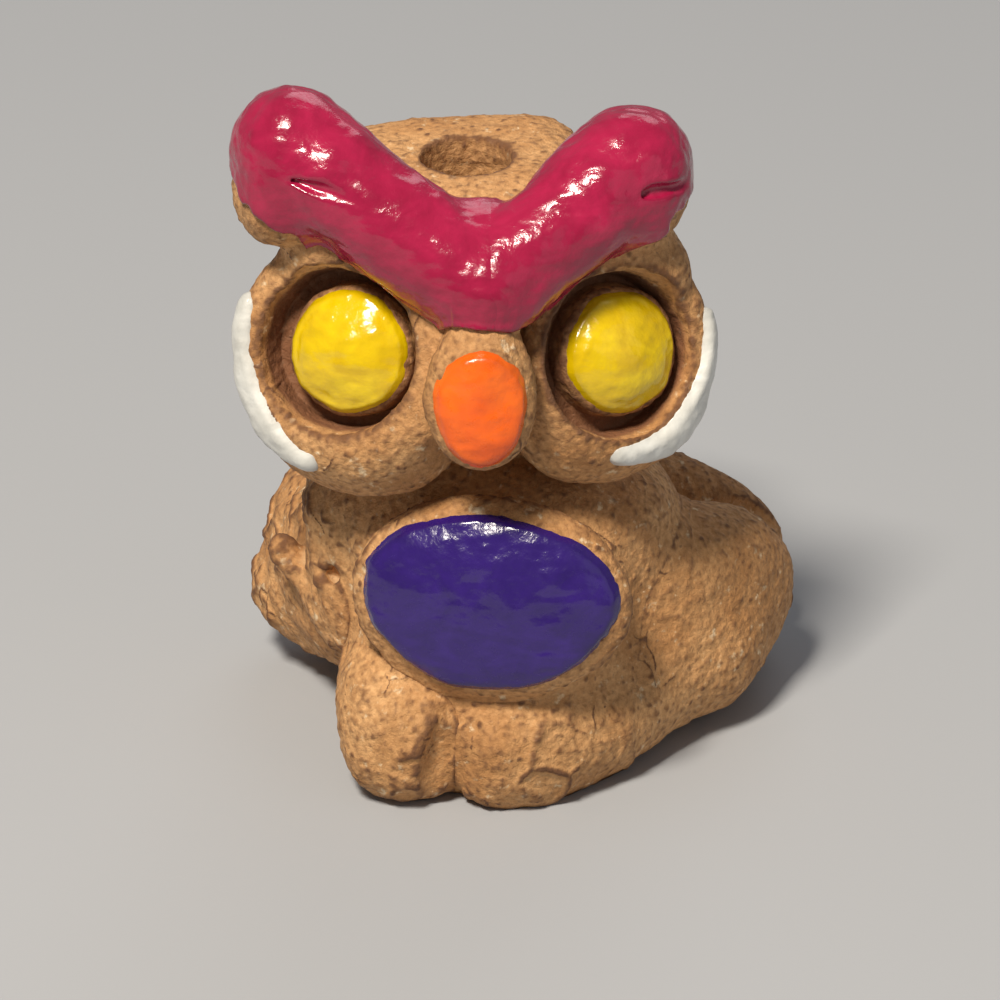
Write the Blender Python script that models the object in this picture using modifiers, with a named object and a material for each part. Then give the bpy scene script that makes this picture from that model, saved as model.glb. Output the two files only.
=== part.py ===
"""Owl bead: a small owl modelled by hand from lumps of clay, fired and touched up with enamel paint.

Every lump and every coat of paint is its own solid. The owl stands on a flat base at Z = 0, looks
along -Y, and is strung on a bore that runs straight down through its head and body. Left and right
are the owl's own, so its left side is +X. Lengths are in metres, and MM turns millimetres to metres.
"""

import math

import bmesh
import bpy
from mathutils import Matrix, Vector

MM = 0.001

# Driving dimensions
JOINT = 0.2 * MM  # gap kept between neighbouring lumps, and between a lump and its paint
COAT = 0.2 * MM  # thickness of a coat of paint
UNDER_PAINT = JOINT + COAT  # how far a painted lump stays below its finished surface
BORE_RADIUS = 1.05 * MM
LOBE_RADIUS = 2.75 * MM
SOCKET_RADIUS = 1.95 * MM
PELLET_RADIUS = 1.5 * MM

# The head, in its own frame: origin at the middle of the head, face along -Y
HEAD_PLACE = Vector((-1.3, 0.3, 10.9)) * MM
HEAD_YAW = math.radians(4)
HEAD_MIDDLE = Vector((0.0, 0.4, 0.0)) * MM
HEAD_RADII = Vector((4.5, 3.7, 4.25)) * MM
CROWN_Z = 3.8 * MM
BORE_FROM_HEAD = Vector((0.05, 1.0)) * MM

# Eyes: how far each looks outwards and upwards, and the lobe of clay that each is stamped in
EYE_OUT = math.radians(27)
EYE_UP = math.radians(18)
EYE_SITE = {"left": Vector((3.2, -3.3, 0.2)) * MM, "right": Vector((-2.9, -3.3, 0.4)) * MM}
LOBE_DEPTH = 2.8 * MM
LOBE_EDGE = 1.1 * MM
SOCKET_DEPTH = 1.1 * MM
PELLET_EDGE = 0.15 * MM
CLAY_MARGIN = 0.08 * MM  # bare clay left round the paint on a pellet
BACK_OF_PAINT = Vector((0, -0.3, 0)) * MM  # how far before a lump's middle its paint stops
COAT_EDGE = 0.08 * MM

# Brow: two rolled coils that meet in a V over the beak
BROW_MEET = Vector((0.0, -3.7, 2.6)) * MM
BROW_TIP = {"left": Vector((3.75, -1.6, 3.95)) * MM, "right": Vector((-4.0, -1.6, 4.8)) * MM}
BROW_MEET_RADIUS = 1.25 * MM
BROW_TIP_RADIUS = 1.35 * MM
BROW_PAINT_SIDE = Vector((0, -0.7, 0.7))

# Beak, and the white cheek strips along the lower outer rim of the lobes
BEAK_MIDDLE = Vector((0.05, -4.6, -0.25)) * MM
BEAK_RADII = Vector((1.2, 1.0, 1.7)) * MM
BEAK_LEAN = math.radians(-12)
CHEEK_THICKNESS = 0.46 * MM  # radius of the strip at its middle
CHEEK_END = 0.3 * MM  # and at its two ends
CHEEK_FROM = math.radians(22)
CHEEK_TO = math.radians(-88)

# The body, in its own frame: origin on the ground, breast along -Y
BODY_PLACE = Vector((-0.5, 0.0, 0.0)) * MM
BODY_YAW = math.radians(-10)
BODY_MIDDLE = Vector((0.0, -0.3, 3.2)) * MM
BODY_RADII = Vector((3.5, 3.8, 4.5)) * MM
PAD_MIDDLE = Vector((0.5, -3.75, 5.3)) * MM
PAD_RADII = Vector((3.15, 1.0, 2.45)) * MM
PAD_LEAN = math.radians(-10)
WING_MIDDLE = Vector((3.9, 1.1, 2.9)) * MM
WING_RADII = Vector((4.0, 1.9, 2.6)) * MM
WING_SWEEP = math.radians(54)
WING_DROOP = math.radians(17)
TAIL_MIDDLE = Vector((0.1, 3.7, 3.0)) * MM
TAIL_RADII = Vector((6.2, 1.7, 3.2)) * MM
FOOT_MIDDLE = {"left": Vector((1.2, -3.2, 1.3)) * MM, "right": Vector((-1.7, -3.4, 1.4)) * MM}
FOOT_RADII = Vector((1.6, 1.6, 1.7)) * MM

ROUND, FULL, SOFT, BLOCKY = 2.0, 2.3, 2.5, 3.0  # how square a lump's sections are
SEGMENTS, RINGS = 24, 14
DOME_STEPS = 4  # rings in the rounded end of a coil
DOME_START = math.radians(8)  # where the first ring lies, so that the end has a small flat cap
STRIP_STEPS = 12
WELD = 0.0001 * MM
SHARP = math.radians(40)
CUTTER_SIZE = 40 * MM
SIDES = {"left": 1, "right": -1}

MATTE, GLOSSY = 0.85, 0.25  # roughness of bare clay and of paint
CLAY = (0.50, 0.29, 0.13)
PAINT = {
    "brow": (0.45, 0.02, 0.09),
    "eye": (0.75, 0.55, 0.0),
    "beak": (1.0, 0.18, 0.01),
    "belly": (0.055, 0.02, 0.25),
    "cheek": (0.78, 0.78, 0.72),
}


def collection(name):
    made = bpy.data.collections.new(name)
    bpy.context.scene.collection.children.link(made)
    return made


def pose(name, place, yaw):
    """The empty that carries the head's or the body's own frame."""
    empty = bpy.data.objects.new(name, None)
    empty.location = place
    empty.rotation_euler.z = yaw
    PARTS.objects.link(empty)
    return empty


def material(name, colour, roughness):
    made = bpy.data.materials.new(name)
    made.use_nodes = True
    shader = made.node_tree.nodes["Principled BSDF"]
    shader.inputs["Base Color"].default_value = (*colour, 1)
    shader.inputs["Roughness"].default_value = roughness
    shader.inputs["Metallic"].default_value = 0
    return made


def finish(part, colour=CLAY, roughness=MATTE):
    """Gives a finished sub-part its own material and smooth shading."""
    part.data.materials.append(material(part.name + "_finish", colour, roughness))
    part.data.shade_smooth()
    part.data.set_sharp_from_angle(angle=SHARP)
    return part


def paint(part, colour_name):
    return finish(part, PAINT[colour_name], GLOSSY)


def place(name, shape, parent, location=(0, 0, 0), turn=None):
    """Makes a bmesh into an object of the owl, carried by its parent's frame."""
    mesh = bpy.data.meshes.new(name)
    shape.to_mesh(mesh)
    shape.free()
    made = bpy.data.objects.new(name, mesh)
    made.parent = parent
    made.location = location
    if turn is not None:
        made.rotation_euler = turn.to_euler()
    PARTS.objects.link(made)
    return made


def as_cutter(shape):
    PARTS.objects.unlink(shape)
    CUTTERS.objects.link(shape)
    shape.hide_render = True
    shape.display_type = "WIRE"
    return shape


def room(shape, *args):
    """A cutter shaped like a neighbouring lump, larger by the joint between them."""
    return as_cutter(shape("room", *args, grow=JOINT))


def cut(part, *cutters):
    for cutter in cutters:
        boolean = part.modifiers.new("cut", "BOOLEAN")
        boolean.operation = "DIFFERENCE"
        boolean.solver = "EXACT"
        boolean.object = cutter
    return part


def lump(name, parent, middle, radii, squareness=ROUND, turn=None, grow=0.0):
    """A rounded lump: a sphere drawn out to its radii, with sections as square as asked."""
    ball = bmesh.new()
    bmesh.ops.create_uvsphere(ball, u_segments=SEGMENTS, v_segments=RINGS, radius=1)
    for vert in ball.verts:
        size = sum(abs(along) ** squareness for along in vert.co) ** (1 / squareness)
        vert.co = Vector(c / size * (r + grow) for c, r in zip(vert.co, radii))
    return place(name, ball, parent, middle, turn)


def drum(name, parent, front, turn, radius, depth, edge=0.0):
    """A disc or drum with rounded edges. Its front face is at front, and turn points it along -Y."""
    disc = bmesh.new()
    bmesh.ops.create_cone(
        disc,
        cap_ends=True,
        segments=SEGMENTS,
        radius1=radius,
        radius2=radius,
        depth=depth,
        matrix=Matrix.Translation((0, depth / 2, 0)) @ Matrix.Rotation(math.pi / 2, 4, "X"),
    )
    made = place(name, disc, parent, front, turn)
    if edge:
        bevel = made.modifiers.new("soft_edge", "BEVEL")
        bevel.width = edge
        bevel.segments = 4
        bevel.limit_method = "ANGLE"
        bevel.angle_limit = SHARP
    return made


def tube(name, parent, points, radii):
    """A round tube through points, with a radius at each, as a welded mesh."""
    curve = bpy.data.curves.new(name, "CURVE")
    curve.dimensions = "3D"
    curve.bevel_depth = 1
    curve.bevel_resolution = 4
    curve.use_fill_caps = True
    spline = curve.splines.new("POLY")
    spline.points.add(len(points) - 1)
    for at, point, radius in zip(spline.points, points, radii):
        at.co = (*point, 1)
        at.radius = radius
    guide = bpy.data.objects.new(name + "_guide", curve)
    PARTS.objects.link(guide)
    mesh = bpy.data.meshes.new_from_object(guide.evaluated_get(bpy.context.evaluated_depsgraph_get()))
    bpy.data.objects.remove(guide)
    welded = bmesh.new()
    welded.from_mesh(mesh)
    bmesh.ops.remove_doubles(welded, verts=welded.verts, dist=WELD)
    bmesh.ops.recalc_face_normals(welded, faces=welded.faces)
    return place(name, welded, parent)


def coil(name, parent, start, end, start_radius, end_radius):
    """A rolled coil of clay: straight, with a rounded end at each side."""
    along = (end - start).normalized()
    angles = [DOME_START + (math.pi / 2 - DOME_START) * step / DOME_STEPS for step in range(DOME_STEPS + 1)]
    points = [start - along * start_radius * math.cos(angle) for angle in angles]
    points += [end + along * end_radius * math.cos(angle) for angle in reversed(angles)]
    radii = [start_radius * math.sin(angle) for angle in angles]
    radii += [end_radius * math.sin(angle) for angle in reversed(angles)]
    return tube(name, parent, points, radii)


def behind(parent, point, facing):
    """A cutter that takes away everything behind a plane through point, on the side away from facing."""
    box = bmesh.new()
    bmesh.ops.create_cube(box, size=CUTTER_SIZE, matrix=Matrix.Translation((0, 0, -CUTTER_SIZE / 2)))
    turn = Vector(facing).to_track_quat("Z", "Y").to_matrix()
    return as_cutter(place("behind", box, parent, point, turn))


def bore_cutter():
    """The vertical stringing hole, placed from the head and long enough for both lumps."""
    at = HEAD_PLACE + Matrix.Rotation(HEAD_YAW, 3, "Z") @ BORE_FROM_HEAD.to_3d()
    rod = bmesh.new()
    bmesh.ops.create_cone(
        rod, cap_ends=True, segments=SEGMENTS, radius1=BORE_RADIUS, radius2=BORE_RADIUS, depth=CUTTER_SIZE
    )
    return as_cutter(place("bore", rod, None, at))


# Head


def eye_turn(side):
    return Matrix.Rotation(SIDES[side] * EYE_OUT, 3, "Z") @ Matrix.Rotation(-EYE_UP, 3, "X")


def head_lump(name, grow=0.0):
    return lump(name, HEAD, HEAD_MIDDLE, HEAD_RADII, FULL, grow=grow)


def eye_lobe(name, side, grow=0.0):
    front = EYE_SITE[side] + eye_turn(side) @ Vector((0, -grow, 0))
    size = LOBE_RADIUS + grow
    return drum(name, HEAD, front, eye_turn(side), size, LOBE_DEPTH + 2 * grow, LOBE_EDGE + grow)


def brow_coil(name, side, grow=0.0):
    radii = (BROW_MEET_RADIUS + grow, BROW_TIP_RADIUS + grow)
    return coil(name, HEAD, BROW_MEET, BROW_TIP[side], *radii)


def beak_lump(name, grow=0.0):
    turn = Matrix.Rotation(BEAK_LEAN, 3, "X")
    return lump(name, HEAD, BEAK_MIDDLE, BEAK_RADII, ROUND, turn, grow)


def make_head(bore):
    crown = behind(HEAD, (0, 0, CROWN_Z), (0, 0, -1))
    finish(cut(head_lump("head"), bore, crown, room(eye_lobe, "left"), room(eye_lobe, "right")))


def make_eye(side):
    """The lobe with its stamped socket, the pellet left standing in it, and the pellet's paint."""
    sign, turn, front = SIDES[side], eye_turn(side), EYE_SITE[side]
    inwards = turn @ Vector((0, 1, 0))
    stamp_front = front - inwards * LOBE_RADIUS
    stamp = drum("stamp", HEAD, stamp_front, turn, SOCKET_RADIUS, LOBE_RADIUS + SOCKET_DEPTH)
    past_middle = behind(HEAD, (sign * JOINT / 2, 0, 0), (sign, 0, 0))
    finish(cut(eye_lobe(side + "_eye_lobe", side), past_middle, as_cutter(stamp)))

    pellet_depth = SOCKET_DEPTH - JOINT - UNDER_PAINT
    pellet_front = front + inwards * UNDER_PAINT
    pellet = drum(side + "_eye_pellet", HEAD, pellet_front, turn, PELLET_RADIUS, pellet_depth, PELLET_EDGE)
    finish(pellet)
    coat_radius = PELLET_RADIUS - CLAY_MARGIN
    paint(drum(side + "_eye_enamel", HEAD, front, turn, coat_radius, COAT, COAT_EDGE), "eye")


def make_brow(side):
    """One coil and the paint over its top and front. The left coil gives way to the right one."""
    neighbours = [room(head_lump), room(eye_lobe, "left"), room(eye_lobe, "right")]
    if side == "left":
        neighbours.append(room(brow_coil, "right"))
    clay = brow_coil(side + "_brow_coil", side, -UNDER_PAINT)
    finish(cut(clay, *neighbours))

    along = (BROW_TIP[side] - BROW_MEET).normalized()
    facing = (BROW_PAINT_SIDE - along * BROW_PAINT_SIDE.dot(along)).normalized()
    under = behind(HEAD, BROW_MEET, facing)
    inside = as_cutter(brow_coil("inside", side, -COAT))
    coat = brow_coil(side + "_brow_enamel", side)
    paint(cut(coat, inside, under, *neighbours), "brow")


def make_beak():
    neighbours = [room(head_lump), room(eye_lobe, "left"), room(eye_lobe, "right")]
    neighbours += [room(brow_coil, "left"), room(brow_coil, "right")]
    finish(cut(beak_lump("beak", -UNDER_PAINT), *neighbours))
    front_only = behind(HEAD, BEAK_MIDDLE + BACK_OF_PAINT, (0, -1, 0))
    inside = as_cutter(beak_lump("inside", -COAT))
    paint(cut(beak_lump("beak_enamel"), inside, front_only, *neighbours), "beak")


def make_cheek(side):
    """The white strip of paint round the lower outer rim of a lobe."""
    turn, front = eye_turn(side), EYE_SITE[side]
    reach = LOBE_RADIUS - LOBE_EDGE * (1 - math.sin(math.pi / 4))
    back = LOBE_EDGE * (1 - math.cos(math.pi / 4))
    points, radii = [], []
    for step in range(STRIP_STEPS + 1):
        share = step / STRIP_STEPS
        angle = CHEEK_FROM + (CHEEK_TO - CHEEK_FROM) * share
        rim = Vector((SIDES[side] * reach * math.cos(angle), back, reach * math.sin(angle)))
        points.append(front + turn @ rim)
        radii.append(CHEEK_END + (CHEEK_THICKNESS - CHEEK_END) * math.sin(math.pi * share) ** 0.5)
    strip = tube(side + "_cheek_enamel", HEAD, points, radii)
    paint(cut(strip, room(eye_lobe, side), room(head_lump)), "cheek")


# Body


def body_lump(name, grow=0.0):
    return lump(name, BODY, BODY_MIDDLE, BODY_RADII, BLOCKY, grow=grow)


def wing_lump(name, side, grow=0.0):
    sign = SIDES[side]
    middle = Vector((sign * WING_MIDDLE.x, WING_MIDDLE.y, WING_MIDDLE.z))
    turn = Matrix.Rotation(sign * WING_SWEEP, 3, "Z") @ Matrix.Rotation(sign * WING_DROOP, 3, "Y")
    return lump(name, BODY, middle, WING_RADII, SOFT, turn, grow)


def foot_lump(name, side, grow=0.0):
    return lump(name, BODY, FOOT_MIDDLE[side], FOOT_RADII, SOFT, grow=grow)


def pad_lump(name, grow=0.0):
    return lump(name, BODY, PAD_MIDDLE, PAD_RADII, ROUND, Matrix.Rotation(PAD_LEAN, 3, "X"), grow)


def make_body(bore, ground):
    finish(cut(body_lump("body"), bore, ground, room(head_lump)))


def make_wing(side, ground):
    neighbours = [room(body_lump), room(foot_lump, side), room(head_lump)]
    finish(cut(wing_lump(side + "_wing", side), ground, *neighbours))


def make_tail(ground):
    tail = lump("tail", BODY, TAIL_MIDDLE, TAIL_RADII, SOFT)
    finish(cut(tail, ground, room(body_lump), room(wing_lump, "left"), room(wing_lump, "right")))


def make_foot(side, ground):
    neighbours = [room(body_lump)]
    if side == "left":
        neighbours.append(room(foot_lump, "right"))
    finish(cut(foot_lump(side + "_foot", side), ground, *neighbours))


def make_belly():
    neighbours = [room(body_lump), room(foot_lump, "left"), room(foot_lump, "right"), room(head_lump)]
    finish(cut(pad_lump("belly_pad", -UNDER_PAINT), *neighbours))
    front_only = behind(BODY, PAD_MIDDLE + BACK_OF_PAINT, (0, -1, 0))
    inside = as_cutter(pad_lump("inside", -COAT))
    paint(cut(pad_lump("belly_enamel"), inside, front_only, *neighbours), "belly")


def make_owl():
    bore = bore_cutter()
    ground = behind(None, (0, 0, 0), (0, 0, 1))
    make_head(bore)
    make_body(bore, ground)
    make_tail(ground)
    make_beak()
    make_belly()
    for side in SIDES:
        make_eye(side)
        make_brow(side)
        make_cheek(side)
        make_wing(side, ground)
        make_foot(side, ground)


for old in list(bpy.data.objects):
    bpy.data.objects.remove(old)
PARTS = collection("owl_bead")
CUTTERS = collection("cutters")
HEAD = pose("head_frame", HEAD_PLACE, HEAD_YAW)
BODY = pose("body_frame", BODY_PLACE, BODY_YAW)
make_owl()
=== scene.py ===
"""Looks of the owl bead: a hand-modelled clay owl with enamel paint, standing on a pale floor.

Each lump is sculpted as a distance field in millimetres and meshed with OpenVDB, then roughened. The
lumps share one blended surface, and each keeps the part of it that lies nearest to itself, so that
they meet in the seams that pressed clay has. Paint is a skin of its own over that same surface.
Left and right are the owl's own: its left side is +X.
"""

import math

import bpy
import numpy as np
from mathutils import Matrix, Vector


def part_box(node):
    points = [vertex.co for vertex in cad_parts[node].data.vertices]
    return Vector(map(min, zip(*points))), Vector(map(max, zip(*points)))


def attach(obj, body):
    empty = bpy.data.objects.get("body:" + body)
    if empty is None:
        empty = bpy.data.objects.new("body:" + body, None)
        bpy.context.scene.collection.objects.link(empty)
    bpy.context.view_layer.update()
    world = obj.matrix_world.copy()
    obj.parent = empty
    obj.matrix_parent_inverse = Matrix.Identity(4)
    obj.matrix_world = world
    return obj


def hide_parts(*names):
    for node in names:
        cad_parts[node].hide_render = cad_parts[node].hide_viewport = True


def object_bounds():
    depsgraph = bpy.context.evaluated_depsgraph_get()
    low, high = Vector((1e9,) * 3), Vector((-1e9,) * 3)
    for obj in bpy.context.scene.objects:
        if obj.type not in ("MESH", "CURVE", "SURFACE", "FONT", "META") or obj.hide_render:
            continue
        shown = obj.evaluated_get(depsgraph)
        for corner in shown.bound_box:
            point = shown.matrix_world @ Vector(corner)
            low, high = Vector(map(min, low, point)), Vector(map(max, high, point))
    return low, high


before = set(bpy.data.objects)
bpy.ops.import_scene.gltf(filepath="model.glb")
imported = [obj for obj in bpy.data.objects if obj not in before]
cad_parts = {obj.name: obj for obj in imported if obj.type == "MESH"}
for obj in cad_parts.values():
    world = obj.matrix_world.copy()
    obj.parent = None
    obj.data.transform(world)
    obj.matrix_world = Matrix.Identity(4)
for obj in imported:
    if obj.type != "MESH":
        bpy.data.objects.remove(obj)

import openvdb
from mathutils import Vector

MM = 0.001
CAD_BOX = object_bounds()

SIDES = {"left": 1, "right": -1}
STEP = 0.05  # spacing of the samples that a piece is meshed from
LUMP_MARGIN = 1.0  # how far round its CAD box a lump is sampled
COAT_MARGIN = 0.6  # the same for a coat of paint
FAR = 9.0  # stands for the distance to a lump from outside its margin

# Measures shared by several pieces, in millimetres
BORE_RADIUS = 1.05
LOBE_RADIUS = {"left": 2.5, "right": 2.87}
SOCKET_RADIUS = 1.94
SOCKET_SHIFT = -0.2  # the tube was not stamped quite round the pellet
SOCKET_DEPTH = 0.95
PELLET_RADIUS = 1.52
COAT = 0.12  # thickness of a coat of paint
CHEEK_COAT = 0.16  # the white is thicker
SUNK = 0.14  # how far a coat reaches into the clay under it
NECK = 7.0  # height above which the head's lumps lie

CLAY_NODES = [
    "head", "body", "tail", "beak", "belly_pad",
    "left_eye_lobe", "right_eye_lobe", "left_eye_pellet", "right_eye_pellet",
    "left_brow_coil", "right_brow_coil", "left_wing", "right_wing", "left_foot", "right_foot",
]


# Places, from the frame


def middle(node):
    low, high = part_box(node)
    return np.array((low + high) / 2) / MM


def near(node, x, y, z):
    """A point this far, in millimetres, from the middle of a CAD node's box."""
    return middle(node) + np.array((x, y, z))


def flat_axes(node):
    """Three axes of a flat CAD node: across it, up it, and out of its face, towards -Y."""
    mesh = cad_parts[node].data
    points = np.empty(len(mesh.vertices) * 3, np.float32)
    mesh.vertices.foreach_get("co", points)
    points = points.reshape(-1, 3) / MM
    out = np.linalg.eigh(np.cov((points - points.mean(0)).T))[1][:, 0]
    out = out if out[1] < 0 else -out
    across = np.cross((0, 0, 1), out)
    across /= np.linalg.norm(across)
    up = np.cross(out, across)
    return across, up if up[2] > 0 else -up, out


BORE = near("head", 0.05, 0.55, 0)
EYE_SHIFT = {"left": (0.33, 0, 0), "right": (-0.12, 0, 0)}
EYE = {}
for eye_side, shift in EYE_SHIFT.items():
    enamel = eye_side + "_eye_enamel"
    EYE[eye_side] = near(enamel, *shift), flat_axes(enamel)


# Distance fields, in millimetres: negative inside. p is the three arrays x, y and z


def along(p, origin, axes):
    moved = [axis - float(start) for axis, start in zip(p, origin)]
    return [sum(m * float(c) for m, c in zip(moved, axis)) for axis in axes]


def turned(yaw, pitch=0.0, roll=0.0):
    """Axes turned by yaw about Z, after pitch about X and roll about Y, in degrees."""
    a, b, c = (math.radians(angle) for angle in (yaw, pitch, roll))
    about_z = np.array([[math.cos(a), -math.sin(a), 0], [math.sin(a), math.cos(a), 0], [0, 0, 1]])
    about_x = np.array([[1, 0, 0], [0, math.cos(b), -math.sin(b)], [0, math.sin(b), math.cos(b)]])
    about_y = np.array([[math.cos(c), 0, math.sin(c)], [0, 1, 0], [-math.sin(c), 0, math.cos(c)]])
    return (about_z @ about_x @ about_y).T


def line_offset(p, start, end):
    """How far from start to end the nearest place on the line lies, as a share, and p's offset from it."""
    run = np.asarray(end) - np.asarray(start)
    from_start = [axis - float(s) for axis, s in zip(p, start)]
    share = np.clip(sum(f * float(r) for f, r in zip(from_start, run)) / float(run @ run), 0, 1)
    return share, [f - share * float(r) for f, r in zip(from_start, run)]


def pebble(p, origin, radii, axes=np.eye(3), square=2.0):
    """A rounded lump with the given radii, and sections that are squarer as square grows."""
    u = [np.abs(c) / r for c, r in zip(along(p, origin, axes), radii)]
    size = sum(c**square for c in u) ** (1 / square) + 1e-6
    slope = np.sqrt(sum(((c / size) ** (square - 1) / r) ** 2 for c, r in zip(u, radii)))
    return (size - 1) / slope


def capsule(p, start, end, start_radius, end_radius):
    share, offset = line_offset(p, start, end)
    return np.sqrt(sum(o * o for o in offset)) - (start_radius + (end_radius - start_radius) * share)


def rope(p, points, radii):
    """Capsules end to end through points."""
    stretches = zip(points[:-1], points[1:], radii[:-1], radii[1:])
    return np.minimum.reduce([capsule(p, *stretch) for stretch in stretches])


def drum(p, origin, axes, radius, half_depth, edge):
    """A short cylinder along the third axis, with its rims rounded by edge."""
    u, v, w = along(p, origin, axes)
    out = np.sqrt(u * u + v * v) - radius + edge
    back = np.abs(w) - half_depth + edge
    outside = np.sqrt(np.maximum(out, 0) ** 2 + np.maximum(back, 0) ** 2)
    return outside + np.minimum(np.maximum(out, back), 0) - edge


def join(a, b, blend):
    overlap = np.maximum(blend - np.abs(a - b), 0) / blend
    return np.minimum(a, b) - overlap * overlap * blend / 4


def carve(a, b, blend):
    return -join(-a, b, blend)


def step_up(value, low, high):
    t = np.clip((value - low) / (high - low), 0, 1)
    return t * t * (3 - 2 * t)


# Noise at an array of points, in millimetres

LATTICE = 32  # cells along each side of the block of noise that is repeated
NOISE_GAIN = 1.6  # brings the peaks to about 1


def noise(points, size, seed):
    """Smooth gradient noise from about -1 to 1, with features of about size."""
    slopes = np.random.default_rng(seed).normal(size=(LATTICE, LATTICE, LATTICE, 3))
    slopes = (slopes / np.linalg.norm(slopes, axis=-1, keepdims=True)).astype(np.float32)
    place = (points / size).astype(np.float32)
    cell = np.floor(place).astype(int)
    inside = place - cell
    fade = inside**3 * (inside * (inside * 6 - 15) + 10)
    total = np.zeros(len(points), np.float32)
    for corner in np.ndindex(2, 2, 2):
        i, j, k = ((cell + corner) % LATTICE).T
        weight = np.prod(np.where(corner, fade, 1 - fade), axis=1)
        total += weight * np.einsum("ij,ij->i", slopes[i, j, k], inside - corner)
    return total * NOISE_GAIN


def warped(points, amount, size, seeds):
    """Points pushed about by noise, one seed for each direction."""
    return points + amount * np.stack([noise(points, size, seed) for seed in seeds], axis=1)


def cells(points, size, seed):
    """Distances to the nearest two of scattered points, and a number that goes with the nearest."""
    rng = np.random.default_rng(seed)
    jitter = rng.random((LATTICE, LATTICE, LATTICE, 3)).astype(np.float32)
    number = rng.random((LATTICE, LATTICE, LATTICE)).astype(np.float32)
    place = (points / size).astype(np.float32)
    cell = np.floor(place).astype(int)
    first = np.full(len(points), FAR, np.float32)
    second = first.copy()
    own = np.zeros(len(points), np.float32)
    for offset in np.ndindex(3, 3, 3):
        at = cell + offset - 1
        i, j, k = (at % LATTICE).T
        apart = np.linalg.norm(at + jitter[i, j, k] - place, axis=1)
        closer = apart < first
        second = np.where(closer, first, np.minimum(second, apart))
        own = np.where(closer, number[i, j, k], own)
        first = np.where(closer, apart, first)
    return first * size, second * size, own


# The head's lumps. Places are in millimetres from the middle of a CAD node's box


def eye_void(p, side):
    """The stamped socket: a round recess with slightly sloping walls."""
    u, v, w = along(p, *EYE[side])
    u = u - SOCKET_SHIFT
    wall = np.sqrt(u * u + v * v) - SOCKET_RADIUS - 0.12 * np.clip(w, -1, 1)
    return np.maximum(wall, -SOCKET_DEPTH - w)


def out_of_sockets(p, lump):
    for side in SIDES:
        lump = carve(lump, eye_void(p, side), blend=0.12)
    return lump


TUFT = {"left": (0.3, 0.9, 0.1), "right": (-1.5, 1.2, 0.0)}  # where the brow's tip joins the head
TEMPLE = (0.2, 1.5, 1.3)  # behind and above each eye, outwards on X


def head(p):
    """The skull, the flattened crown, and a ridge from each temple to its ear tuft."""
    skull = pebble(p, near("head", 0.05, 0.1, -0.3), radii=(4.0, 3.5, 3.4), axes=turned(4), square=2.3)
    crown = pebble(p, near("head", 0.05, 0.85, 1.0), radii=(2.95, 2.85, 2.55), axes=turned(4, 2), square=5.5)
    lump = join(skull, crown, blend=0.8)
    for side, sign in SIDES.items():
        tuft = near(side + "_brow_enamel", *TUFT[side])
        temple = EYE[side][0] + np.array(TEMPLE) * (sign, 1, 1)
        lump = join(lump, capsule(p, tuft, temple, 0.95, 1.25), blend=0.8)
    return out_of_sockets(p, lump)


JOWL_DROP = {"left": 1.55, "right": 1.9}  # from the middle of the eye down to the middle of the jowl


def eye_lobe(p, side):
    centre, axes = EYE[side]
    half = 1.5
    lobe = drum(p, centre - axes[2] * (half - 0.05), axes, LOBE_RADIUS[side], half, edge=0.6)
    jowl = pebble(p, centre - axes[1] * JOWL_DROP[side] - axes[2] * 1.45, radii=(2.35, 1.6, 1.35), axes=axes)
    return out_of_sockets(p, join(lobe, jowl, blend=0.6))


def eye_pellet(p, side):
    centre, axes = EYE[side]
    half = 0.8
    plug = drum(p, centre - axes[2] * (half + 0.25), axes, PELLET_RADIUS, half, edge=0.2)
    dome = pebble(p, centre - axes[2] * 0.75, radii=(1.46, 1.46, 0.92), axes=axes)
    return join(plug, dome, blend=0.12)


# Both coils run from the tip inwards, to the place where they meet in a V
BROW_MEET = near("right_brow_enamel", 2.3, -0.8, -1.8)
BROW_RUN = {
    "left": ((0.95, 0.6, 0.6), (0.25, 0.05, 0.15), (-0.7, -0.5, -0.5)),
    "right": ((-2.0, 1.0, 0.9), (-1.2, 0.55, 0.4), (-0.25, 0.12, -0.25)),
}
BROW_RADII = {"left": (1.25, 1.25, 1.12, 1.15), "right": (1.25, 1.28, 1.15, 1.15)}
BROW_CREASE = {
    "left": (((0.8, -0.82, 0.45), (1.5, -0.78, 0.55), (2.35, 0.0, 0.42)), (0.12, 0.26, 0.22)),
    "right": (((-2.1, -0.42, 0.74), (-1.35, -0.85, 0.64), (-0.5, -1.03, 0.4)), (0.16, 0.3, 0.14)),
}


def brow_points(side):
    return [near(side + "_brow_enamel", *at) for at in BROW_RUN[side]] + [BROW_MEET]


def brow_tip(p, side):
    """The blunt end of the coil, which sags below its run."""
    if side == "right":
        place = near("right_brow_enamel", -2.15, 0.95, 0.3)
        return pebble(p, place, radii=(1.2, 1.25, 1.7), axes=turned(20, 0, 10), square=2.5)
    place = near("left_brow_enamel", 1.0, 0.6, 0.2)
    return pebble(p, place, radii=(1.2, 1.25, 1.45), axes=turned(-20, 0, -10), square=2.5)


def brow_coil(p, side):
    """A rolled coil with a crease near its tip. The right one ends in a bump, laid over the left one."""
    coil = join(rope(p, brow_points(side), BROW_RADII[side]), brow_tip(p, side), blend=0.3)
    if side == "right":
        bump_over_left = pebble(p, near("right_brow_enamel", 2.15, 0.1, -0.72), radii=(0.95, 0.8, 0.6))
        coil = join(coil, bump_over_left, blend=0.3)
    places, radii = BROW_CREASE[side]
    crease = [near(side + "_brow_enamel", *at) for at in places]
    return carve(coil, rope(p, crease, radii), blend=0.12)


BEAK_AXES = turned(4, -14)


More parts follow.
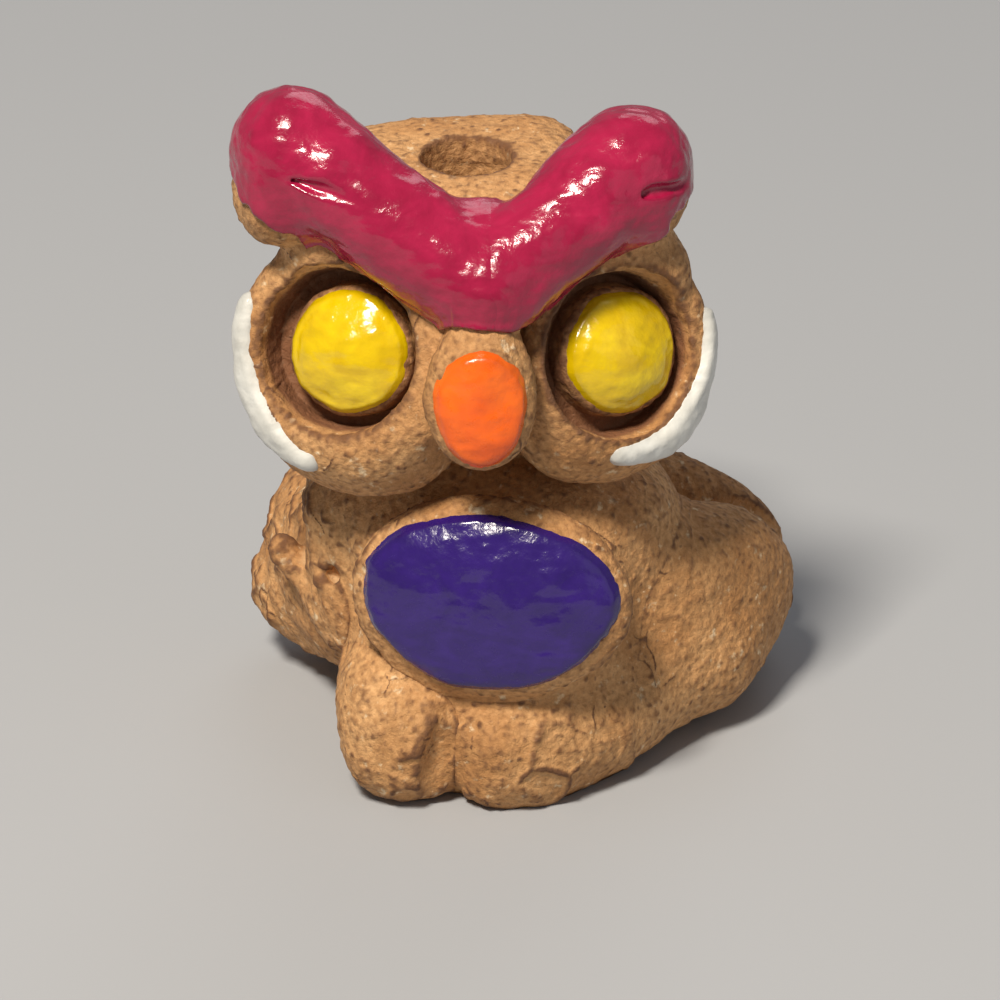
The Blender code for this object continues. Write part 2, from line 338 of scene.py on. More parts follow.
def beak(p):
    """An oval tip, and a bridge from it up to the V of the brows."""
    tip = pebble(p, near("beak_enamel", -0.02, 0.46, 0.2), radii=(1.28, 0.82, 1.7), axes=BEAK_AXES)
    low_end, high_end = near("beak_enamel", 0, 0.65, 1.1), near("beak_enamel", -0.05, 1.1, 1.9)
    return join(tip, capsule(p, low_end, high_end, 0.75, 0.62), blend=0.6)


# The body's lumps

PAD_AXES = turned(-10, -11)
PAD_RADII = (3.3, 1.0, 2.42)
PAD_MIDDLE = near("belly_enamel", 0.02, 0.62, 0.16)
GROOVE_LIFT = 0.2  # how far outside the clay a groove's middle line runs, so that the paint doesn't fill it
PAD_GROOVES = (
    # places across and up the pad, and the radius halfway
    (((0.0, -0.75), (1.3, -1.0), (2.5, -0.7)), 0.2),
    (((0.3, 1.35), (1.1, 1.3), (1.9, 1.05)), 0.17),
    (((-2.1, 1.05), (-1.2, 1.35), (-0.2, 1.5)), 0.14),
)


def pad_point(across, up):
    """A point over the face of the belly pad."""
    fall = (across / PAD_RADII[0]) ** 2 + (up / PAD_RADII[2]) ** 2
    out = PAD_RADII[1] * math.sqrt(1 - fall) + GROOVE_LIFT
    return PAD_MIDDLE + np.array((across, -out, up)) @ PAD_AXES


def belly_pad(p):
    return pebble(p, PAD_MIDDLE, PAD_RADII, PAD_AXES)


def body(p):
    trunk = pebble(p, near("body", 0.05, 0, -0.55), radii=(3.5, 3.75, 4.5), axes=turned(-10), square=2.6)
    shoulders = pebble(p, near("body", -0.3, 0.6, 1.75), radii=(4.5, 3.0, 2.1), axes=turned(-6), square=2.4)
    skirt = pebble(p, near("body", 0.75, 0.0, -2.6), radii=(3.6, 3.9, 1.5), axes=turned(-25), square=2.4)
    return join(join(trunk, shoulders, blend=0.8), skirt, blend=0.9)


def left_wing(p):
    """A smooth pebble that runs forward into the flank and up into the shoulder."""
    place = near("left_wing", -0.7, 0.1, -0.05)
    blade = pebble(p, place, radii=(3.3, 1.6, 2.3), axes=turned(46, 0, 17), square=2.2)
    front, back = near("left_wing", -3.6, -3.0, -1.3), near("left_wing", -0.6, -0.3, -1.2)
    lump = join(blade, capsule(p, front, back, 1.3, 1.5), blend=0.9)
    neck_end, back_end = near("left_wing", -2.1, -0.5, 1.7), near("left_wing", -0.1, 0.8, 0.7)
    return join(lump, capsule(p, neck_end, back_end, 1.1, 1.1), blend=0.8)


def right_wing(p):
    """A knobbly lump with a flap of clay pressed on its front."""
    place = near("right_wing", 0.45, 0.1, 0.1)
    blade = pebble(p, place, radii=(1.6, 3.2, 2.3), axes=turned(20, -14), square=2.3)
    flap = pebble(p, near("right_wing", 0.25, -2.6, 0.9), radii=(0.55, 1.5, 1.3), axes=turned(14, -8))
    tip = pebble(p, near("right_wing", -0.6, 0.8, -1.0), radii=(1.0, 1.6, 1.2), axes=turned(25))
    lump = join(join(blade, tip, blend=0.4), flap, blend=0.3)
    ridge_top, ridge_end = near("right_wing", -0.9, -1.85, 1.6), near("right_wing", 0.45, -3.0, 0.2)
    return join(lump, capsule(p, ridge_top, ridge_end, 0.35, 0.4), blend=0.25)


def tail(p):
    place = near("tail", 0.0, 0.25, -0.1)
    return pebble(p, place, radii=(6.15, 1.3, 2.85), axes=turned(-2, 2, 10), square=2.6)


def left_foot(p):
    toe = pebble(p, near("left_foot", -0.3, 0.85, -0.1), radii=(1.6, 1.4, 1.5), axes=turned(20), square=2.5)
    front, back = near("left_foot", 0.2, 1.4, -0.25), near("left_foot", 2.9, 3.4, -0.2)
    return join(toe, capsule(p, front, back, 0.95, 1.25), blend=0.9)


def right_foot(p):
    toe = pebble(p, near("right_foot", 0.15, 0.0, -0.05), radii=(1.4, 1.4, 1.5), axes=turned(-12), square=2.6)
    instep = pebble(p, near("right_foot", -0.1, 0.7, 0.4), radii=(1.35, 1.5, 1.6), square=2.3)
    return join(toe, instep, blend=0.5)


SINGLE_LUMPS = {
    "head": head, "body": body, "tail": tail, "beak": beak, "belly_pad": belly_pad,
    "left_wing": left_wing, "right_wing": right_wing, "left_foot": left_foot, "right_foot": right_foot,
}
PAIRED_LUMPS = {"eye_lobe": eye_lobe, "eye_pellet": eye_pellet, "brow_coil": brow_coil}


def lump_field(p, node):
    """The distance field of one lump by itself."""
    if node in SINGLE_LUMPS:
        return SINGLE_LUMPS[node](p)
    side, kind = node.split("_", 1)
    return PAIRED_LUMPS[kind](p, side)


# What fingers and tools took out of the clay, or pressed onto it

TOE_GROOVE = near("right_foot", 1.25, -1.45, 1.5), near("right_foot", 0.8, -1.5, -1.7)
WING_SLOT = ((-1.4, 1.2, 2.5), (-0.2, 2.0, 1.75), (0.9, 2.75, 1.0), (1.7, 3.2, 0.5))
WING_SLOT_RADII = (0.15, 0.35, 0.35, 0.2)
FLAP_RIM = ((0.0, -2.95, 2.1), (0.05, -3.4, 1.6), (0.35, -3.65, 1.35), (0.65, -3.75, 1.6), (0.7, -3.6, 2.1))
FLAP_RIM_RADII = (0.12, 0.2, 0.2, 0.2, 0.12)
WING_HOLES = (
    ((0.4, -3.6, 1.85), 0.24),
    ((-1.6, -0.9, 1.1), 0.5),
    ((-0.7, -2.1, 3.1), 0.16),
    ((-0.5, -2.3, 2.9), 0.12),
    ((-0.25, -2.6, 3.2), 0.14),
)


def bore(p):
    return np.sqrt((p[0] - BORE[0]) ** 2 + (p[1] - BORE[1]) ** 2) - BORE_RADIUS


def toe_groove(p):
    return capsule(p, *TOE_GROOVE, 0.45, 0.5)


def wing_slot(p):
    """The groove that splits the left wing from the tail."""
    return rope(p, [near("left_wing", *at) for at in WING_SLOT], WING_SLOT_RADII)


def right_wing_marks(p, surface):
    """A raised rim round the pressed-on flap, some holes, and a slit."""
    rim = [near("right_wing", *at) for at in FLAP_RIM]
    surface = join(surface, rope(p, rim, FLAP_RIM_RADII), blend=0.12)
    for place, radius in WING_HOLES:
        hole = pebble(p, near("right_wing", *place), radii=(radius, radius, radius))
        surface = carve(surface, hole, blend=0.1)
    top, bottom = near("right_wing", -0.4, -2.5, 2.7), near("right_wing", -0.45, -2.5, 1.6)
    return carve(surface, capsule(p, top, bottom, 0.16, 0.2), blend=0.12)


# The shared surface


def grid_lines():
    low, high = (np.array(corner) / MM for corner in CAD_BOX)
    low, high = low - LUMP_MARGIN, high + LUMP_MARGIN
    low[2] = -3 * STEP
    return [np.arange(a, b, STEP, dtype=np.float32) for a, b in zip(low, high)]


LINES = grid_lines()
SHAPE = tuple(len(line) for line in LINES)


def window(low, high, margin=0):
    """The slices of the grid, and the coordinates in them, that cover a box in millimetres."""
    slices = []
    for line, a, b in zip(LINES, low, high):
        first, last = np.searchsorted(line, (a - margin, b + margin))
        slices.append(slice(int(first), int(last)))
    x, y, z = (line[s] for line, s in zip(LINES, slices))
    return tuple(slices), [x[:, None, None], y[None, :, None], z[None, None, :]]


def window_about(centre, half):
    return window(np.array(centre) - half, np.array(centre) + half)


def node_window(node, margin=LUMP_MARGIN):
    return window(*(np.array(corner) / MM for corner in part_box(node)), margin)


# How widely neighbouring lumps blend
FACE_BLEND = 0.07
BODY_BLEND = 0.12  # more than on the face
SMEARED_BLEND = 0.08  # and more again where the left wing was smeared onto the breast


def softness(p):
    """How widely neighbouring lumps blend: least about the face, and most before the left wing."""
    low_down = step_up(NECK + 0.6 - p[2], 0, 1.5)
    smeared = step_up(p[0], 0.8, 2.4) * step_up(-p[1], -2.2, -0.8)
    return FACE_BLEND + low_down * (BODY_BLEND + SMEARED_BLEND * smeared)


class SharedClay:
    """Every lump on one grid: the surface they blend into, and which lump each place is nearest to."""

    def __init__(self):
        self.own = {}
        self.first = np.full(SHAPE, FAR, np.float32)
        self.second = self.first.copy()
        self.spread = np.zeros(SHAPE, np.float32)
        for node in CLAY_NODES:
            self.add(node)
        everywhere = np.ix_(*LINES)
        self.surface = self.first - softness(everywhere) * np.log(np.maximum(self.spread, 1))
        self.cut()

    def add(self, node):
        """Keep the nearest two distances, and the sum that the smooth blend is worked out from."""
        slices, p = node_window(node)
        field = lump_field(p, node).astype(np.float32)
        self.own[node] = field
        blend = softness(p)
        first, second = self.first[slices], self.second[slices]
        nearer = np.minimum(first, field)
        kept = self.spread[slices] * np.exp(np.maximum((nearer - first) / blend, -30))
        self.spread[slices] = kept + np.exp(np.maximum((nearer - field) / blend, -30))
        self.second[slices] = np.minimum(second, np.maximum(first, field))
        self.first[slices] = nearer

    def take_out(self, where, shape, blend):
        slices, p = where
        self.surface[slices] = carve(self.surface[slices], shape(p), blend)

    def cut(self):
        """The bore, the marks of fingers and tools, and the flat underside."""
        self.take_out(window_about(BORE, (2, 2, 12)), bore, 0.1)
        self.take_out(window_about(sum(TOE_GROOVE) / 2, (1.5, 1.5, 3)), toe_groove, 0.12)
        slices, p = node_window("right_wing", 1.2)
        self.surface[slices] = right_wing_marks(p, self.surface[slices])
        for marks, radius in PAD_GROOVES:
            line = [pad_point(*mark) for mark in marks]
            radii = (0.02, radius, 0.02)
            self.take_out(window_about(PAD_MIDDLE, (4, 3, 3)), lambda p: rope(p, line, radii), 0.1)
        start, end = (near("left_wing", *at) for at in (WING_SLOT[0], WING_SLOT[-1]))
        self.take_out(window(start - 2, end + 2, 1), wing_slot, 0.12)
        self.surface = np.maximum(self.surface, -LINES[2][None, None, :])

    def beyond(self, node):
        """How far past the seam with its neighbours a place lies, from one lump's side."""
        slices, _ = node_window(node)
        own, first, second = self.own[node], self.first[slices], self.second[slices]
        return own - np.where(own <= first, second, first)


# Meshes from fields


def meshed(field, p):
    """The surface of a field as points and quads, closed where it leaves its box."""
    field = np.array(field, np.float32)
    for axis in range(3):
        for end in (0, -1):
            edge = [slice(None)] * 3
            edge[axis] = end
            field[tuple(edge)] = np.maximum(field[tuple(edge)], STEP)
    volume = openvdb.FloatGrid(STEP)
    volume.copyFromArray(field)
    points, quads = volume.convertToQuads(isovalue=0.0)
    low = np.array([axis.ravel()[0] for axis in p], np.float32)
    return points * STEP + low, quads[:, ::-1].astype(np.int32)


def neighbour_mean(values, quads):
    """The mean of each point's neighbours round its quads."""
    starts = quads.ravel()
    ends = np.roll(quads, -1, axis=1).ravel()
    a, b = np.concatenate([starts, ends]), np.concatenate([ends, starts])
    count = np.bincount(a, minlength=len(values))[:, None]
    sums = [np.bincount(a, weights=values[b, k], minlength=len(values)) for k in range(values.shape[1])]
    return (np.stack(sums, axis=1) / np.maximum(count, 1)).astype(np.float32)


def normals(points, quads):
    corners = points[quads]
    facing = np.cross(corners[:, 2] - corners[:, 0], corners[:, 3] - corners[:, 1])
    sums = [np.bincount(quads.ravel(), np.repeat(facing[:, k], 4), len(points)) for k in range(3)]
    total = np.stack(sums, axis=1)
    return (total / (np.linalg.norm(total, axis=1, keepdims=True) + 1e-12)).astype(np.float32)


def hollowness(points, quads, rounds):
    """How far each point lies below its surroundings, on a scale that grows with rounds."""
    smooth = points
    for _ in range(rounds):
        smooth = neighbour_mean(smooth, quads)
    return np.einsum("ij,ij->i", smooth - points, normals(points, quads))


# Surface detail, as heights along the normal


def shape_detail(points):
    """Unevenness from the fingers, which clay and paint share."""
    x, y, z = points.T
    height = 0.055 * noise(points, 1.7, 1) + 0.035 * noise(points, 0.75, 2)
    below_neck = step_up(NECK - z, 0, 1)
    first, second, _ = cells(warped(points, 0.35, 1.1, (21, 22, 23)), 1.3, 3)
    fold = 1 - step_up(second - first, 0.0, 0.35)
    fold *= (0.25 + 0.75 * below_neck) * step_up(noise(points, 1.5, 4), -0.25, 0.35)
    on_belly = step_up(z, 2.7, 3.3) * step_up(-y, 3.2, 3.8)
    on_left = step_up(x, 0.8, 2.0)
    fold *= (1 - 0.9 * on_belly) * (1 - 0.85 * on_left)
    crumbly = step_up(-x, 3.9, 4.7) * below_neck
    return height - 0.09 * fold + 0.07 * crumbly * noise(points, 0.5, 24)


def clay_detail(points):
    """Grain, pits and short cracks of bare fired clay."""
    grain = 0.020 * noise(points, 0.34, 16) + 0.018 * noise(points, 0.2, 5) + 0.014 * noise(points, 0.12, 6)
    rough = step_up(noise(points, 1.9, 7), -0.5, 0.6)
    first, _, own = cells(points, 0.42, 8)
    pit_radius = 0.05 + 0.09 * own
    pit = np.clip(np.where(own > 0.55, 1 - first / pit_radius, 0), 0, 1) * (0.3 + 0.7 * rough)
    first, second, _ = cells(warped(points, 0.25, 0.7, (9, 10, 11)), 1.15, 12)
    crack = (1 - step_up(second - first, 0.0, 0.06)) * step_up(noise(points, 1.3, 13), 0.3, 0.6)
    return grain - 0.07 * pit - 0.04 * crack


def paint_detail(points):
    """Slow ripples and brush marks of thick enamel."""
    brushed = points * np.array((0.3, 1, 1))
    return 0.026 * noise(points, 0.6, 14) + 0.010 * noise(points, 0.25, 15) + 0.012 * noise(brushed, 0.2, 17)


def detail(points, quads, extra):
    """Points moved along smoothed normals, so that sharp edges stay even."""
    outward = normals(points, quads)
    for _ in range(3):
        outward = neighbour_mean(outward, quads)
    return points + outward * (shape_detail(points) + extra(points))[:, None]


def socket_stain(points):
    """How dark the smoke and old paint leave the clay: most in the stamped sockets and the bore."""
    p = points.T
    stain = 0.25 * step_up(0.05 - bore(p), 0, 0.1)
    for side in SIDES:
        u, v, w = along(p, *EYE[side])
        ring = np.sqrt(u * u + v * v)
        wall = np.sqrt((u - SOCKET_SHIFT) ** 2 + v * v)
        inside = step_up(SOCKET_RADIUS + 0.1 - wall, 0, 0.1)
        off_pellet = step_up(ring, PELLET_RADIUS - 0.02, PELLET_RADIUS + 0.05)
        deep_enough = step_up(-w, 0.12, 0.4) * step_up(w, -1.6, -1.2)
        stain = np.maximum(stain, inside * off_pellet * deep_enough)
    return stain


# Pieces

HOLLOW_SCALES = {"hollow": (12, 12.0), "fine_hollow": (2, 60.0)}  # rounds of smoothing, and scale


def add_value(mesh, name, values):
    mesh.attributes.new(name, "FLOAT", "POINT").data.foreach_set("value", values.astype(np.float32))


def add_piece(name, points, quads, node, material):
    mesh = bpy.data.meshes.new(name)
    mesh.vertices.add(len(points))
    mesh.vertices.foreach_set("co", (points * MM).astype(np.float32).ravel())
    mesh.loops.add(quads.size)
    mesh.loops.foreach_set("vertex_index", quads.ravel())
    mesh.polygons.add(len(quads))
    mesh.polygons.foreach_set("loop_start", np.arange(0, quads.size, 4, dtype=np.int32))
    mesh.update(calc_edges=True)
    mesh.shade_smooth()
    for value_name, (rounds, scale) in HOLLOW_SCALES.items():
        add_value(mesh, value_name, hollowness(points, quads, rounds) * scale)
    piece = bpy.data.objects.new(name, mesh)
    bpy.context.scene.collection.objects.link(piece)
    mesh.materials.append(material)
    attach(piece, "root")
    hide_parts(node)
    return piece


def make_lump(clay, node, material):
    slices, p = node_window(node)
    field = clay.surface[slices] + 0.5 * np.maximum(clay.beyond(node), 0)
    points, quads = meshed(field, p)
    flat = points[:, 2] < STEP
    points = detail(points, quads, clay_detail)
    points[:, 2] = np.where(flat, 0, np.maximum(points[:, 2], 0))
    piece = add_piece(node + "_clay", points, quads, node, material)
    add_value(piece.data, "stain", socket_stain(points))


def make_coat(clay, node, slot, material, region, thickness=COAT, cut=None):
    """A skin over the shared surface where region is negative, thinning to a rounded edge.

    Where there is a cut as well, the skin dips under the one from the other side.
    """
    slices, p = node_window(node, COAT_MARGIN)
    surface = clay.surface[slices]
    bounds = region(p, clay.first[slices])
    lip = thickness * step_up(-bounds, 0, 0.12)
    if cut:
        lip = lip - 0.03 * step_up(cut(p), -0.35, -0.05)
        bounds = np.maximum(bounds, cut(p))
    skin = np.maximum.reduce([surface - lip, -surface - SUNK, bounds])
    points, quads = meshed(skin, p)
    points = detail(points, quads, paint_detail)
    add_piece(node + "_paint", points, quads, node, material)


# Where the paint lies. Each region takes the coordinates and the distance to the nearest lump

BROW_UNDERSIDE = (0, 0.3, -0.9)
SEAM_SHIFT = 0.15  # how far to the left of the place where the coils meet their coats overlap
SEAM_OVERLAP = 0.2  # how far each coat reaches past the middle of the overlap
CHEEK_ARC = {"left": (6, -102), "right": (14, -76)}  # degrees round the lobe, from the outer side
CHEEK_STEPS = 12


def grid_noise(p, size, seed):
    """Noise over a window of the grid."""
    shape = np.broadcast_shapes(*(axis.shape for axis in p))
    places = np.stack([np.broadcast_to(axis, shape).ravel() for axis in p], axis=1)
    return noise(places, size, seed).reshape(shape)


def brow_region(side):
    """All of the coil but its underside at the tip, where the brush left off in drips."""
    def region(p, nearest):
        tip, *_, meet = brow_points(side)
        ragged = 0.05 * grid_noise(p, 0.6, 20)
        share, offset = line_offset(p, tip, meet)
        below = sum(o * down for o, down in zip(offset, BROW_UNDERSIDE))
        bare = below - 0.55 - 1.6 * share + 3 * ragged
        coil = np.minimum(brow_coil(p, "left"), brow_coil(p, "right"))
        off_coil = 2 * (coil - nearest) - 0.26
        root = pebble(p, meet + np.array((0, -0.5, 0.25)), radii=(1.3, 1.6, 1.35))
        return np.maximum(np.minimum(np.maximum(coil - 0.3, bare), root), off_coil) + ragged
    return region


def past_middle(side):
    """How far past the overlap in the middle of the V a place lies."""
    def cut(p):
        middle_line = float(BROW_MEET[0]) + SEAM_SHIFT
        return -SIDES[side] * (p[0] - middle_line) - SEAM_OVERLAP
    return cut


def eye_region(side):
    def region(p, nearest):
        u, v, w = along(p, *EYE[side])
        return np.maximum(np.sqrt(u * u + v * v) - PELLET_RADIUS + 0.09, -0.5 - w)
    return region


def oval_region(origin, axes, half_width, half_height, wobble, taper=0.0):
    """An egg shape seen along its own second axis, narrower towards the bottom where it tapers."""
    def region(p, nearest):
        u, v, w = along(p, origin, axes)
        angle = np.arctan2(w, u)
        scale = 1 + wobble * (0.5 * np.sin(3 * angle + 0.5) + 0.3 * np.sin(5 * angle))
        width = half_width * (1 + taper * np.clip(w / half_height, -1, 1))
        size = np.sqrt((u / width) ** 2 + (w / half_height) ** 2) / scale
        return np.maximum((size - 1) * min(half_width, half_height), v - 0.2)
    return region


def cheek_region(side):
    """A crescent along the outer lower rim of the lobe."""
    centre, (across, up, out) = EYE[side]
    reach = LOBE_RADIUS[side] - 0.12
    shares = np.linspace(0, 1, CHEEK_STEPS + 1)
    points, radii = [], []
    for angle, share in zip(np.radians(np.linspace(*CHEEK_ARC[side], CHEEK_STEPS + 1)), shares):
        rim = SIDES[side] * math.cos(angle) * across * reach + math.sin(angle) * up * reach
        points.append(centre + rim - out * 0.15)
        radii.append(0.22 + 0.3 * math.sin(math.pi * (0.1 + 0.8 * share)))

    def region(p, nearest):
        return rope(p, points, radii)
    return region


# Materials, with colours as linear red, green and blue

CLAY_DARK, CLAY_LIGHT = (0.52, 0.25, 0.085), (0.74, 0.415, 0.175)
CLAY_GRAIN = (0.34, 0.16, 0.06)
CLAY_CRUMB = (0.80, 0.60, 0.37)
# Painted shade, for broad hollows and for fine pits
CLAY_HOLLOW_SHADE = (0.20, 0.085, 0.03)
CLAY_PIT_SHADE = (0.16, 0.07, 0.03)
CLAY_WORN = (0.78, 0.55, 0.31)
CLAY_STAIN = (0.19, 0.072, 0.03)
FLOOR_GREY = (0.40, 0.41, 0.43)
ENAMELS = {
    "magenta_enamel": dict(colour=(0.43, 0.012, 0.066), dark=(0.30, 0.006, 0.042), roughness=0.17, coat=0.3),
    "yellow_enamel": dict(colour=(0.84, 0.60, 0.003), dark=(0.66, 0.43, 0.0), roughness=0.15, coat=0.4),
    "orange_enamel": dict(colour=(1.0, 0.17, 0.008), dark=(0.85, 0.11, 0.005), roughness=0.3, coat=0.2),
    "purple_enamel": dict(colour=(0.033, 0.010, 0.175), dark=(0.022, 0.007, 0.12), roughness=0.2, coat=0.3),
    "white_enamel": dict(colour=(0.78, 0.78, 0.74), dark=(0.66, 0.65, 0.60), roughness=0.42, coat=0.1),
}


def principled(name, roughness, coat=0.0):
    material = bpy.data.materials.new(name)
    material.use_nodes = True
    tree = material.node_tree
    shader = tree.nodes["Principled BSDF"]
    shader.inputs["Roughness"].default_value = roughness
    shader.inputs["Coat Weight"].default_value = coat
    shader.inputs["Coat Roughness"].default_value = 0.06
    return material, tree, shader


def place_mm(tree):
    """Object coordinates in millimetres."""
    coords = tree.nodes.new("ShaderNodeTexCoord")
    scale = tree.nodes.new("ShaderNodeVectorMath")
    scale.operation = "SCALE"
    scale.inputs["Scale"].default_value = 1 / MM
    tree.links.new(coords.outputs["Object"], scale.inputs[0])
    return scale.outputs[0]


def noise_node(tree, place, size, octaves, distortion=0.0):
    node = tree.nodes.new("ShaderNodeTexNoise")
    node.inputs["Scale"].default_value = 1 / size
    node.inputs["Detail"].default_value = octaves
    node.inputs["Roughness"].default_value = 0.6
    node.inputs["Distortion"].default_value = distortion
    tree.links.new(place, node.inputs["Vector"])
    return node.outputs["Fac"]


def attribute(tree, name):
    node = tree.nodes.new("ShaderNodeAttribute")
    node.attribute_name = name
    return node.outputs["Fac"]


def ramp(tree, value, low, high, to_low=0.0, to_high=1.0):
    node = tree.nodes.new("ShaderNodeMapRange")
    for socket, number in zip(("From Min", "From Max", "To Min", "To Max"), (low, high, to_low, to_high)):
        node.inputs[socket].default_value = number
    tree.links.new(value, node.inputs["Value"])
    return node.outputs["Result"]


def mix(tree, factor, a, b):
    """A colour between a and b, each of which is a colour or another node's output."""
    node = tree.nodes.new("ShaderNodeMix")
    node.data_type = "RGBA"
    factor_input, a_input, b_input = node.inputs[0], node.inputs[6], node.inputs[7]
    if hasattr(factor, "is_output"):
        tree.links.new(factor, factor_input)
    else:
        factor_input.default_value = factor
    for colour, socket in ((a, a_input), (b, b_input)):
        if hasattr(colour, "is_output"):
            tree.links.new(colour, socket)
        else:
            socket.default_value = (*colour, 1)
    return node.outputs[2]


def bump(tree, shader, height, distance, normal=None):
    """Fine relief of this many millimetres, on top of the relief in normal."""
    node = tree.nodes.new("ShaderNodeBump")
    node.inputs["Strength"].default_value = 1
    node.inputs["Distance"].default_value = distance * MM
    tree.links.new(height, node.inputs["Height"])
    if normal is not None:
        tree.links.new(normal, node.inputs["Normal"])
    tree.links.new(node.outputs["Normal"], shader.inputs["Normal"])
    return node.outputs["Normal"]


def clay_material():
    """Sandy clay: broad shades, dark grain, pale crumbs, painted shade in hollows and pits, pale worn ridges
    and stains.
    """
    material, tree, shader = principled("fired_clay", 0.8)
    place = place_mm(tree)
    broad = ramp(tree, noise_node(tree, place, 2.4, 5, 0.6), 0.35, 0.68)
    colour = mix(tree, broad, CLAY_DARK, CLAY_LIGHT)
    grain = ramp(tree, noise_node(tree, place, 0.16, 6), 0.36, 0.62)
    colour = mix(tree, grain, mix(tree, 0.55, colour, CLAY_GRAIN), colour)
    layers = (
        (ramp(tree, noise_node(tree, place, 0.35, 3), 0.62, 0.72), CLAY_CRUMB),
        # Painted shade: the clay is darkened in broad hollows and in fine pits, worked out from how hollow
        # the surface is
        (ramp(tree, attribute(tree, "hollow"), 0.0, 0.42), CLAY_HOLLOW_SHADE),
        (ramp(tree, attribute(tree, "fine_hollow"), 0.15, 0.9), CLAY_PIT_SHADE),
        (ramp(tree, attribute(tree, "hollow"), -0.15, -0.8, 0.0, 0.6), CLAY_WORN),
        (ramp(tree, attribute(tree, "stain"), 0, 1, 0, 0.9), CLAY_STAIN),
    )
    for amount, shade in layers:
        colour = mix(tree, amount, colour, shade)
    tree.links.new(colour, shader.inputs["Base Color"])
    tree.links.new(ramp(tree, grain, 0, 1, 0.92, 0.62), shader.inputs["Roughness"])
    fine = bump(tree, shader, noise_node(tree, place, 0.05, 6), 0.018)
    bump(tree, shader, noise_node(tree, place, 0.13, 5, 0.4), 0.06, fine)
    return material


def enamel_material(name, colour, dark, roughness, coat):
    """Thick gloss enamel: uneven in tone, darker in hollows as painted shade and pooled enamel, and rippled.
    """
    material, tree, shader = principled(name, roughness, coat)
    place = place_mm(tree)
    broad = ramp(tree, noise_node(tree, place, 1.3, 4, 0.8), 0.35, 0.7)
    tone = mix(tree, broad, dark, colour)
    # Painted shade, with some pooled enamel: darker where the surface is hollow
    pooling_and_shade = ramp(tree, attribute(tree, "hollow"), 0.05, 0.8, 0, 0.75)
    tone = mix(tree, pooling_and_shade, tone, tuple(c * 0.35 for c in dark))
    tree.links.new(tone, shader.inputs["Base Color"])
    speck = ramp(tree, noise_node(tree, place, 0.25, 4), 0.3, 0.7, roughness * 0.7, roughness * 1.5)
    tree.links.new(speck, shader.inputs["Roughness"])
    slow = bump(tree, shader, noise_node(tree, place, 0.45, 3), 0.03)
    bump(tree, shader, noise_node(tree, place, 0.12, 4), 0.01, slow)
    return material


def floor_material():
    material, _, shader = principled("pale_floor", 0.9)
    shader.inputs["Base Color"].default_value = (*FLOOR_GREY, 1)
    return material


# The owl, the floor, the light and the camera


def make_owl():
    shared = SharedClay()
    clay = clay_material()
    for node in CLAY_NODES:
        make_lump(shared, node, clay)
    enamels = {slot: enamel_material(slot, **look) for slot, look in ENAMELS.items()}

    def paint(node, slot, region, *how):
        make_coat(shared, node, slot, enamels[slot], region, *how)

    for side in SIDES:
        paint(side + "_brow_enamel", "magenta_enamel", brow_region(side), COAT, past_middle(side))
        paint(side + "_eye_enamel", "yellow_enamel", eye_region(side))
        paint(side + "_cheek_enamel", "white_enamel", cheek_region(side), CHEEK_COAT)
    beak_middle = near("beak_enamel", -0.02, 0, 0.15)
    beak_oval = oval_region(beak_middle, BEAK_AXES, 1.05, 1.42, wobble=0.03, taper=0.12)
    belly_oval = oval_region(PAD_MIDDLE, PAD_AXES, 3.02, 2.12, wobble=0.05)
    paint("beak_enamel", "orange_enamel", beak_oval)
    paint("belly_enamel", "purple_enamel", belly_oval)


FLOOR_HALF = 0.6  # metres, as is everything below
LAMP_TARGET = Vector((0, 0, 0.008))
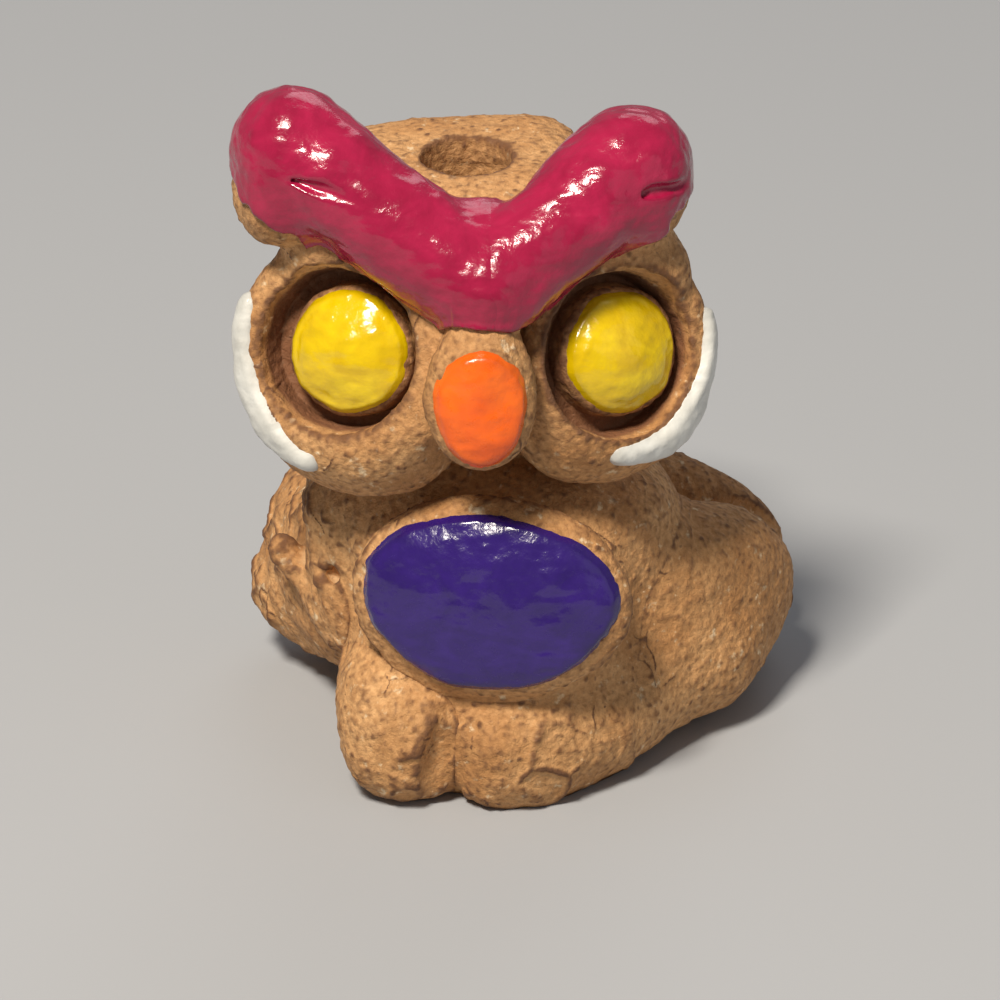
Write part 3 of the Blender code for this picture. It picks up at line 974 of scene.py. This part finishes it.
# Name, place, size, watts and colour
LAMPS = (
    ("key", (-0.06, -0.115, 0.21), 0.045, 0.76, (1.0, 0.92, 0.80)),
    ("fill", (0.20, -0.16, 0.10), 0.20, 0.04, (0.93, 0.96, 1.0)),
    ("back", (0.05, 0.22, 0.20), 0.16, 0.12, (0.95, 0.97, 1.0)),
)
WORLD_COLOUR = (0.80, 0.81, 0.84)
WORLD_STRENGTH = 0.21
CAMERA_ELEVATION = math.radians(27)
CAMERA_DISTANCE = 0.130
CAMERA_LENS = 196.6  # millimetres, on a sensor that is 36 mm wide
AIM_ASIDE = -0.00054  # the owl stands a little off the middle of the picture
AIM_HEIGHT = 0.0059


def make_floor():
    mesh = bpy.data.meshes.new("floor")
    corners = [(x * FLOOR_HALF, y * FLOOR_HALF, 0) for x, y in ((-1, -1), (1, -1), (1, 1), (-1, 1))]
    mesh.from_pydata(corners, [], [(0, 1, 2, 3)])
    floor = bpy.data.objects.new("floor", mesh)
    bpy.context.scene.collection.objects.link(floor)
    mesh.materials.append(floor_material())


def add_lamp(name, place, size, watts, colour):
    lamp = bpy.data.lights.new(name, "AREA")
    lamp.size = size
    lamp.energy = watts
    lamp.color = colour
    made = bpy.data.objects.new(name, lamp)
    made.location = place
    made.rotation_euler = (LAMP_TARGET - Vector(place)).to_track_quat("-Z", "Y").to_euler()
    bpy.context.scene.collection.objects.link(made)


def make_light():
    for lamp in LAMPS:
        add_lamp(*lamp)
    world = bpy.data.worlds.new("studio")
    world.use_nodes = True
    background = world.node_tree.nodes["Background"]
    background.inputs["Color"].default_value = (*WORLD_COLOUR, 1)
    background.inputs["Strength"].default_value = WORLD_STRENGTH
    bpy.context.scene.world = world
    bpy.context.scene.view_settings.view_transform = "Standard"


def make_camera():
    low, high = CAD_BOX
    aim = Vector(((low.x + high.x) / 2 + AIM_ASIDE, 0, AIM_HEIGHT))
    away = Vector((0, -math.cos(CAMERA_ELEVATION), math.sin(CAMERA_ELEVATION)))
    camera = bpy.data.cameras.new("camera")
    camera.sensor_width = 36
    camera.lens = CAMERA_LENS
    camera.clip_start = 0.005
    made = bpy.data.objects.new("camera", camera)
    made.location = aim + away * CAMERA_DISTANCE
    made.rotation_euler = (math.pi / 2 - CAMERA_ELEVATION, 0, 0)
    bpy.context.scene.collection.objects.link(made)
    bpy.context.scene.camera = made


make_owl()
make_floor()
make_light()
make_camera()
